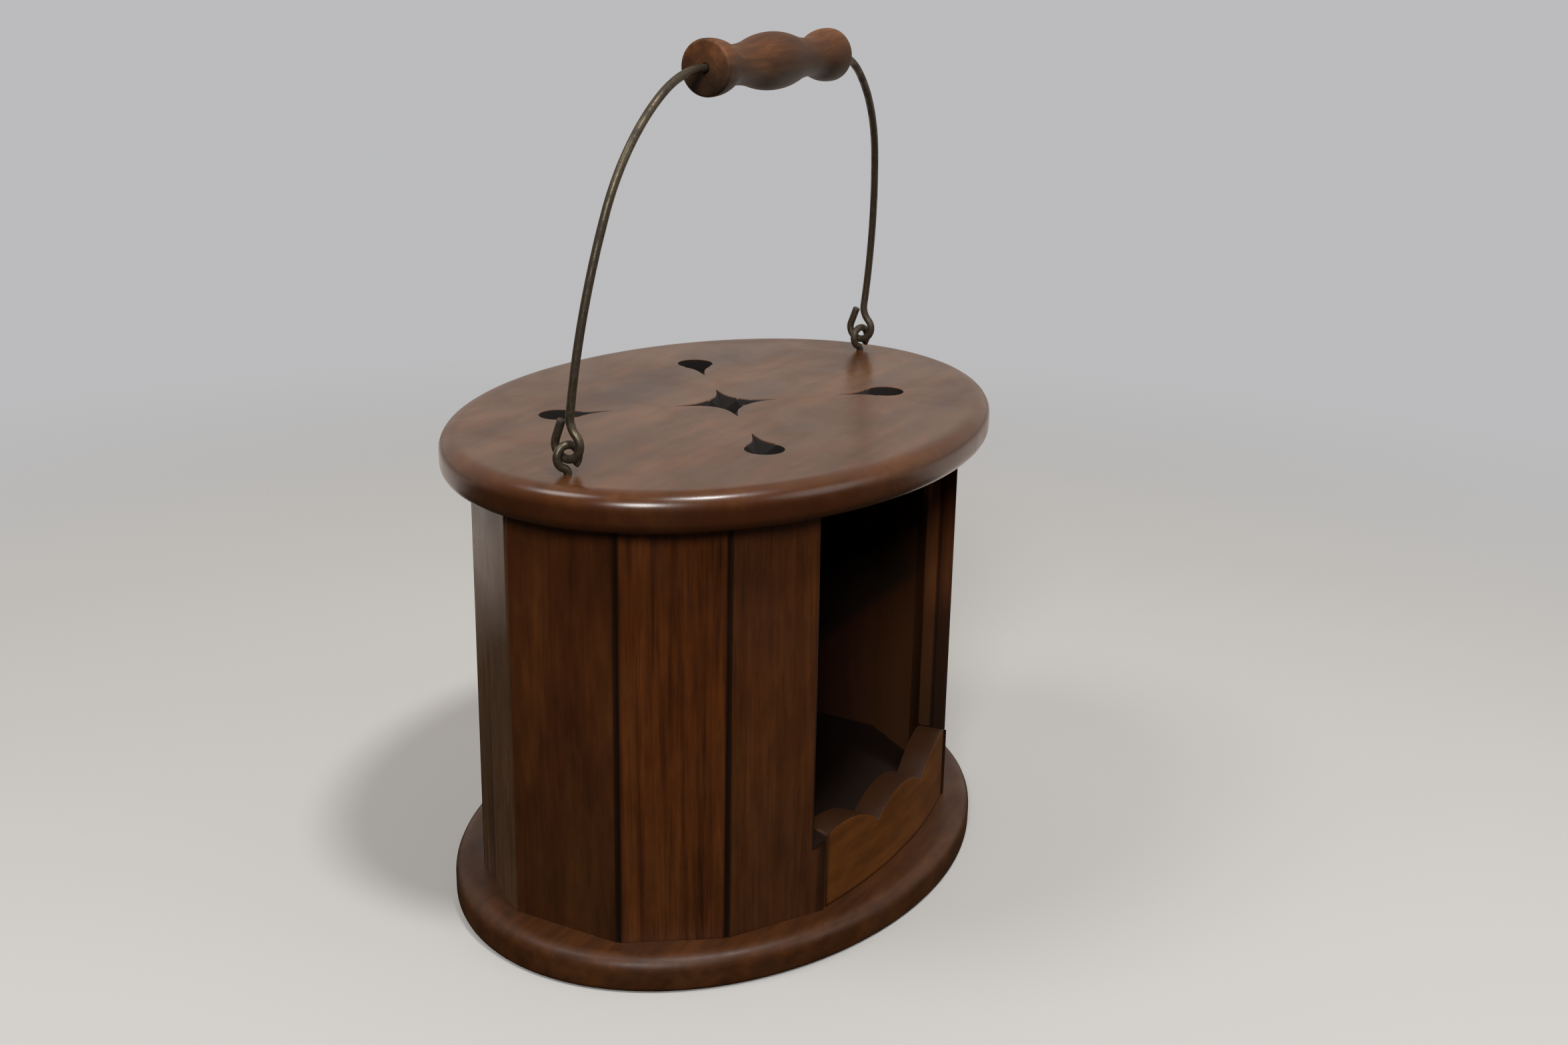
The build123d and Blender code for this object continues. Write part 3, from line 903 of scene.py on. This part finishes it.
def varnishedWood(name, settings):
    material, tree, shader = newMaterial(name)
    place = objectPlace(tree)
    axes = axesOf(tree, place)
    mapping = addNode(tree, "ShaderNodeMapping")
    plug(tree, place, mapping.inputs["Vector"])
    plug(tree, settings["shift"], mapping.inputs["Location"])
    plug(tree, tuple(math.radians(angle) for angle in settings["turn"]), mapping.inputs["Rotation"])
    figure = groupNode(tree, woodFigure, {"Vector": mapping.outputs["Vector"], "Warp": settings["warp"],
                                          "Streak Scale": settings["streakScale"]})
    smears = groupNode(tree, handling, {"Vector": place})["Smears"]
    rough = rangeNode(tree, smears, 0, 1, *settings["roughness"], smooth=False)

    colour = figureColour(tree, figure, settings)
    wear = groupNode(tree, edgeWear, {"Vector": place, "Edge": attributeNode(tree, "worn"),
                                      "Amount": settings["wear"]})
    colour = mixColour(tree, "MIX", wear["Worn"], colour, settings["wornColour"])
    if "sootBelow" in settings:
        stain = groupNode(tree, soot, {"Vector": place, "Below": settings["sootBelow"],
                                       "Hole Below": settings["holeBelow"]})["Stain"]
        share = mathNode(tree, "MULTIPLY", stain, settings["sootShare"])
        colour = mixColour(tree, "MIX", share, colour, settings["sootColour"])
        rough = mathNode(tree, "MAXIMUM", rough, mathNode(tree, "MULTIPLY", stain, settings["sootRoughness"]))
    else:
        dirt = rangeNode(tree, attributeNode(tree, "groove"), 0.0, 0.5)
        colour = mixColour(tree, "MIX", dirt, colour, settings["jointColour"])
    if "insideColour" in settings:
        raw = chamberColour(tree, axes, colour, settings["insideColour"], chamberSettings)
        colour = mixColour(tree, "MIX", attributeNode(tree, "inside"), colour, raw)
    if "sawnColour" in settings:
        # painted shade on the sill's ends, beside the jambs
        across = mathNode(tree, "ABSOLUTE", axes["X"])
        ends = rangeNode(tree, across, *doorwaySettings["sillAcross"], 0.0, settings["endShade"])
        colour = mixColour(tree, "MULTIPLY", ends, colour, doorwaySettings["sillEndShadeTint"])
        colour = mixColour(tree, "MIX", attributeNode(tree, "sawn"), colour, settings["sawnColour"])
    # painted shade, darker towards the bottom: the top board's rim, the staves' feet and the grip's underside
    if "paintedShadeHeights" in settings:
        shaded = rangeNode(tree, axes["Z"], *settings["paintedShadeHeights"], 1.0, 0.0)
        colour = mixColour(tree, "MULTIPLY", shaded, colour, settings["paintedShadeTint"])
    if "doorLine" in settings:
        colour = mixColour(tree, "MULTIPLY", 1.0, colour, jambShade(tree, axes, settings, doorwaySettings))

    plug(tree, colour, shader.inputs["Base Color"])
    plug(tree, rough, shader.inputs["Roughness"])
    plug(tree, settings["specular"], shader.inputs["Specular IOR Level"])
    height = mathNode(tree, "ADD", mathNode(tree, "MULTIPLY", figure["Pores"], -0.6),
                      mathNode(tree, "MULTIPLY", figure["Streaks"], 0.8))
    bumpShader(tree, shader, height, settings["bump"])
    return material


def tones(dark, middle, light, at=0.5):
    return [(0.0, dark), (at, middle), (1.0, light)]


plainWood = {
    "fleck": 0.5,
    "poreTint": (0.35, 0.3, 0.26),
    "jointColour": (0.0140, 0.0046, 0.0018),
    "wear": 0.2,
    "wornColour": (0.12, 0.042, 0.012),
    "specular": 0.3,
}

woodSettings = {
    "topBoardWood": {
        "turn": (0, 90, 0), "shift": (0.31, 0.12, 0.47), "streakScale": 190.0, "warp": 0.012,
        "streakShare": 0.18, "cloudShare": 1.0, "flameShare": 0.25, "contrast": 0.17, "pores": 0.12,
        "colours": tones((0.052, 0.0170, 0.0045), (0.078, 0.0270, 0.0072), (0.122, 0.0450, 0.0118), 0.45),
        "fleck": 0.35, "wear": 0.45, "wornColour": (0.072, 0.021, 0.0060),
        "roughness": (0.24, 0.34), "specular": 0.5, "bump": 0.06,
        "sootBelow": 0.2001, "holeBelow": 0.2159, "sootShare": 0.96,
        "sootColour": (0.003, 0.002, 0.0015), "sootRoughness": 0.95,
        "paintedShadeHeights": (0.2075, 0.2138), "paintedShadeTint": (0.55, 0.47, 0.42),
    },
    "baseBoardWood": {
        "turn": (0, 90, 0), "shift": (0.05, 0.42, 0.13), "streakScale": 200.0, "warp": 0.010,
        "streakShare": 0.6, "cloudShare": 0.9, "flameShare": 0.6, "contrast": 0.18, "pores": 0.3,
        "colours": tones((0.026, 0.0078, 0.0020), (0.046, 0.0145, 0.0036), (0.072, 0.0235, 0.0058)),
        "wear": 0.3, "wornColour": (0.085, 0.027, 0.0060),
        "roughness": (0.38, 0.52), "bump": 0.2,
        "sootBelow": 0.0175, "holeBelow": 0.0, "sootShare": 0.96,
        "sootColour": (0.0105, 0.0048, 0.0027), "sootRoughness": 0.6,
    },
    "endStaveWood": {
        "turn": (0, 0, 10), "shift": (0.2, 0.9, 0.3), "streakScale": 260.0, "warp": 0.010,
        "streakShare": 0.5, "cloudShare": 0.8, "flameShare": 0.8, "contrast": 0.13, "pores": 0.3,
        "colours": tones((0.038, 0.0103, 0.0030), (0.062, 0.0174, 0.0047), (0.090, 0.0285, 0.0068)),
        "roughness": (0.26, 0.38), "bump": 0.2, "insideColour": (0.068, 0.022, 0.0105),
        "paintedShadeHeights": (0.02, 0.15), "paintedShadeTint": (0.70, 0.80, 0.92),
    },
    "flankStaveWood": {
        "turn": (0, 0, 20), "shift": (0.7, 0.2, 0.5), "streakScale": 230.0, "warp": 0.004,
        "streakShare": 1.4, "cloudShare": 0.25, "flameShare": 0.35, "contrast": 0.15, "pores": 0.4,
        "colours": tones((0.030, 0.0074, 0.0018), (0.074, 0.0192, 0.0038), (0.122, 0.0350, 0.0064), 0.42),
        "roughness": (0.26, 0.38), "bump": 0.3, "insideColour": (0.125, 0.046, 0.016),
        "paintedShadeHeights": (0.02, 0.15), "paintedShadeTint": (0.74, 0.80, 1.0),
    },
    "jambStaveWood": {
        "turn": (0, 0, 40), "shift": (0.4, 0.5, 0.1), "streakScale": 420.0, "warp": 0.004,
        "streakShare": 0.9, "cloudShare": 0.5, "flameShare": 0.3, "contrast": 0.2, "pores": 0.4,
        "colours": tones((0.039, 0.0110, 0.0028), (0.067, 0.0198, 0.0050), (0.096, 0.0315, 0.0080)),
        "wornColour": (0.11, 0.042, 0.013), "roughness": (0.38, 0.50), "specular": 0.22, "bump": 0.25,
        "sawnColour": (0.030, 0.0105, 0.0032), "endShade": 0.0, "insideColour": (0.125, 0.046, 0.016),
        "paintedShadeHeights": (0.02, 0.18), "paintedShadeTint": (0.78, 0.84, 0.95),
        "doorLine": -0.0776, "outerShade": 0.4, "paintedEdgeLight": 1.0,
    },
    "apronWood": {
        "turn": (0, 90, 0), "shift": (0.15, 0.3, 0.6), "streakScale": 240.0, "warp": 0.008,
        "streakShare": 0.5, "cloudShare": 0.9, "flameShare": 0.5, "contrast": 0.2, "pores": 0.25,
        "colours": tones((0.076, 0.022, 0.0034), (0.11, 0.035, 0.0053), (0.15, 0.049, 0.0077)),
        "wear": 0.3, "wornColour": (0.13, 0.045, 0.012), "roughness": (0.38, 0.5), "bump": 0.2,
        "sawnColour": (0.030, 0.0105, 0.0032), "endShade": 0.7,
    },
    "gripWood": {
        "turn": (0, 90, 0), "shift": (0.1, 0.1, 0.1), "streakScale": 300.0, "warp": 0.004,
        "streakShare": 0.5, "cloudShare": 1.0, "flameShare": 0.4, "contrast": 0.13, "pores": 0.4,
        "colours": tones((0.044, 0.0135, 0.0037), (0.092, 0.0310, 0.0086), (0.208, 0.0720, 0.0200)),
        "wornColour": (0.2, 0.1, 0.06), "roughness": (0.5, 0.62), "bump": 0.3,
        "paintedShadeHeights": (0.3590, 0.3770), "paintedShadeTint": (0.42, 0.56, 0.72),
    },
}

# a lighter copy of the flank wood, as painted light on the back-left stave, without painted shade at its foot
woodSettings["litStaveWood"] = dict(
    woodSettings["flankStaveWood"], paintedShadeTint=(1.0, 1.0, 1.0),
    colours=tones((0.045, 0.020, 0.0095), (0.082, 0.040, 0.019), (0.120, 0.059, 0.028)))
# the right jamb: less gloss, and painted light high on its sawn door edge
woodSettings["rightJambWood"] = dict(
    woodSettings["jambStaveWood"], specular=0.05, roughness=(0.5, 0.6), paintedEdgeLight=2.1,
    colours=tones((0.046, 0.0115, 0.0024), (0.079, 0.0205, 0.0042), (0.113, 0.0330, 0.0068)))

woods = {name: varnishedWood(name, dict(plainWood, **settings)) for name, settings in woodSettings.items()}


# iron

ironSettings = {
    "wireIron": {
        "rustScale": 160.0, "bare": (0.11, 0.09, 0.06), "rust": (0.045, 0.030, 0.018),
        "metal": (0.85, 0.4), "roughness": (0.42, 0.62),
    },
    "nailIron": {
        "rustScale": 300.0, "bare": (0.16, 0.14, 0.12), "rust": (0.07, 0.035, 0.02),
        "metal": (0.8, 0.2), "roughness": (0.5, 0.75),
    },
}


def agedIron(name, settings):
    material, tree, shader = newMaterial(name)
    place = objectPlace(tree)
    rust = rangeNode(tree, noiseNode(tree, place, settings["rustScale"], 5.0, 0.6), 0.42, 0.62)
    fine = noiseNode(tree, place, 1400.0, 3.0, 0.6)
    colour = mixColour(tree, "MIX", rust, settings["bare"], settings["rust"])
    pits = rangeNode(tree, fine, 0.4, 0.7, 0.0, 0.5)
    plug(tree, mixColour(tree, "MULTIPLY", pits, colour, (0.45, 0.42, 0.4)), shader.inputs["Base Color"])
    plug(tree, rangeNode(tree, rust, 0, 1, *settings["metal"]), shader.inputs["Metallic"])
    plug(tree, rangeNode(tree, rust, 0, 1, *settings["roughness"]), shader.inputs["Roughness"])
    bumpShader(tree, shader, fine, 0.35)
    return material


irons = {name: agedIron(name, settings) for name, settings in ironSettings.items()}


# materials and bodies

def finishPiece(piece, material, body, slotName, *nodes):
    piece.data.materials.clear()
    piece.data.materials.append(material)
    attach(piece, body)
    if nodes:
        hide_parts(*nodes)


finishPiece(topBoard, woods["topBoardWood"], "warmer", "board_wood", "top_board")
finishPiece(baseBoard, woods["baseBoardWood"], "warmer", "board_wood", "base_board")
staveWoods = {
    "endStaveLeft": "endStaveWood",
    "flankStaveFrontLeft": "flankStaveWood",
    "flankStaveBackLeft": "litStaveWood",
    "frontApron": "apronWood",
    "jambStaveLeft": "jambStaveWood",
    "jambStaveRight": "rightJambWood",
}
# the other staves take these in turn
spareWoods = ["endStaveWood", "flankStaveWood", "jambStaveWood"]
for index, (name, piece) in enumerate(staves.items()):
    finishPiece(piece, woods[staveWoods.get(name, spareWoods[index % 3])], "warmer", "stave_wood")
finishPiece(eyeLeft, irons["wireIron"], "warmer", "wire_iron", "screw_eye_left")
finishPiece(eyeRight, irons["wireIron"], "warmer", "wire_iron", "screw_eye_right")
finishPiece(bail, irons["wireIron"], "bail", "wire_iron", "bail_wire")
finishPiece(grip, woods["gripWood"], "grip", "grip_wood", "grip")

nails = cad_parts["base_nails"]
nails.data.materials.clear()
nails.data.materials.append(irons["nailIron"])
print("materials done", len(woods) + len(irons))


# floor, lights and camera

studioSettings = {
    "floorSize": 8.0,
    "floorSeen": (0.52, 0.51, 0.49),
    "floorBounce": (0.035, 0.027, 0.017),
    "cardBounce": (0.86, 0.76, 0.69),
    "cardLine": 0.204,
    "cardBlur": 0.02,
    "fadeFrom": 0.35,
    "fadeTo": 1.1,
    # the level direction that the camera looks in
    "sight": (0.9013, 0.4332, 0.0),
    "backdrop": (0.50, 0.50, 0.51),
    "worldBehind": (0.56, 0.505, 0.46),
    "worldFront": (0.035, 0.033, 0.031),
    "worldTurn": (-0.4, 0.5),
}


def studioFloor(settings):
    bm = bmesh.new()
    bmesh.ops.create_grid(bm, x_segments=1, y_segments=1, size=settings["floorSize"])
    floor = newPiece("studioFloor", bm)
    material, tree, shader = newMaterial("floorPaint")
    cameraRay = addNode(tree, "ShaderNodeLightPath").outputs["Is Camera Ray"]
    place = objectPlace(tree)
    # behind the object the floor bounces like a pale wall, which gives the top its sheen
    along = vectorNode(tree, "DOT_PRODUCT", place, settings["sight"])
    card = rangeNode(tree, along, settings["cardLine"] - settings["cardBlur"],
                     settings["cardLine"] + settings["cardBlur"])
    bounce = mixColour(tree, "MIX", card, settings["floorBounce"], settings["cardBounce"])
    plug(tree, mixColour(tree, "MIX", cameraRay, bounce, settings["floorSeen"]), shader.inputs["Base Color"])
    plug(tree, 0.9, shader.inputs["Roughness"])
    plug(tree, 0.1, shader.inputs["Specular IOR Level"])
    # seen from the camera it fades into the backdrop, so there is no horizon
    distance = vectorNode(tree, "LENGTH", place)
    fade = rangeNode(tree, distance, settings["fadeFrom"], settings["fadeTo"])
    glow = addNode(tree, "ShaderNodeEmission")
    plug(tree, settings["backdrop"], glow.inputs["Color"])
    blend = addNode(tree, "ShaderNodeMixShader")
    plug(tree, mathNode(tree, "MULTIPLY", fade, cameraRay), blend.inputs["Fac"])
    plug(tree, shader.outputs["BSDF"], blend.inputs[1])
    plug(tree, glow.outputs["Emission"], blend.inputs[2])
    plug(tree, blend.outputs["Shader"], tree.nodes["Material Output"].inputs["Surface"])
    floor.data.materials.append(material)


def studioWorld(settings):
    world = bpy.data.worlds.new("studioWorld")
    bpy.context.scene.world = world
    world.use_nodes = True
    tree = world.node_tree
    background = tree.nodes["Background"]
    around = addNode(tree, "ShaderNodeTexCoord").outputs["Generated"]
    along = vectorNode(tree, "DOT_PRODUCT", around, settings["sight"])
    side = rangeNode(tree, along, *settings["worldTurn"])
    colour = mixColour(tree, "MIX", side, settings["worldFront"], settings["worldBehind"])
    cameraRay = addNode(tree, "ShaderNodeLightPath").outputs["Is Camera Ray"]
    plug(tree, mixColour(tree, "MIX", cameraRay, colour, settings["backdrop"]), background.inputs["Color"])
    plug(tree, 1.0, background.inputs["Strength"])


# place, target, size and power
lampSettings = {
    "ceilingLamp": ((-0.34, -0.80, 2.1), (0, 0, 0.1), 0.3, 24),
    "windowLamp": ((-1.7, -0.75, 1.25), (0, 0, 0.1), 0.6, 26),
    "overheadLamp": ((-0.9, 0.8, 2.0), (0, 0, 0.2), 0.8, 12),
    "fillLamp": ((0.3, -2.2, 1.1), (0, 0, 0.15), 1.4, 8),
}


def softLamp(name, place, target, size, power):
    lamp = bpy.data.lights.new(name, "AREA")
    lamp.shape = "DISK"
    lamp.size = size
    lamp.energy = power
    holder = bpy.data.objects.new(name, lamp)
    bpy.context.scene.collection.objects.link(holder)
    holder.location = place
    aim = Vector(target) - Vector(place)
    holder.rotation_euler = aim.to_track_quat("-Z", "Y").to_euler()


studioFloor(studioSettings)
studioWorld(studioSettings)
for name, (place, target, size, power) in lampSettings.items():
    softLamp(name, place, target, size, power)

cameraSettings = {
    "place": (-0.6876, -0.3961, 0.4204),
    "target": (-0.21985, -0.14732, 0.24625),
    "roll": 1.14,
    "lens": 41.61,
    "sensor": 36.0,
    "nearest": 0.01,
}

camera = bpy.data.cameras.new("studioCamera")
camera.sensor_width = cameraSettings["sensor"]
camera.lens = cameraSettings["lens"]
camera.clip_start = cameraSettings["nearest"]
cameraHolder = bpy.data.objects.new("studioCamera", camera)
bpy.context.scene.collection.objects.link(cameraHolder)
look = (Vector(cameraSettings["target"]) - Vector(cameraSettings["place"])).to_track_quat("-Z", "Y")
turned = look.to_matrix().to_4x4() @ Matrix.Rotation(math.radians(cameraSettings["roll"]), 4, "Z")
cameraHolder.matrix_world = Matrix.Translation(cameraSettings["place"]) @ turned
bpy.context.scene.camera = cameraHolder
bpy.context.scene.view_settings.view_transform = "Standard"

print("scene done")
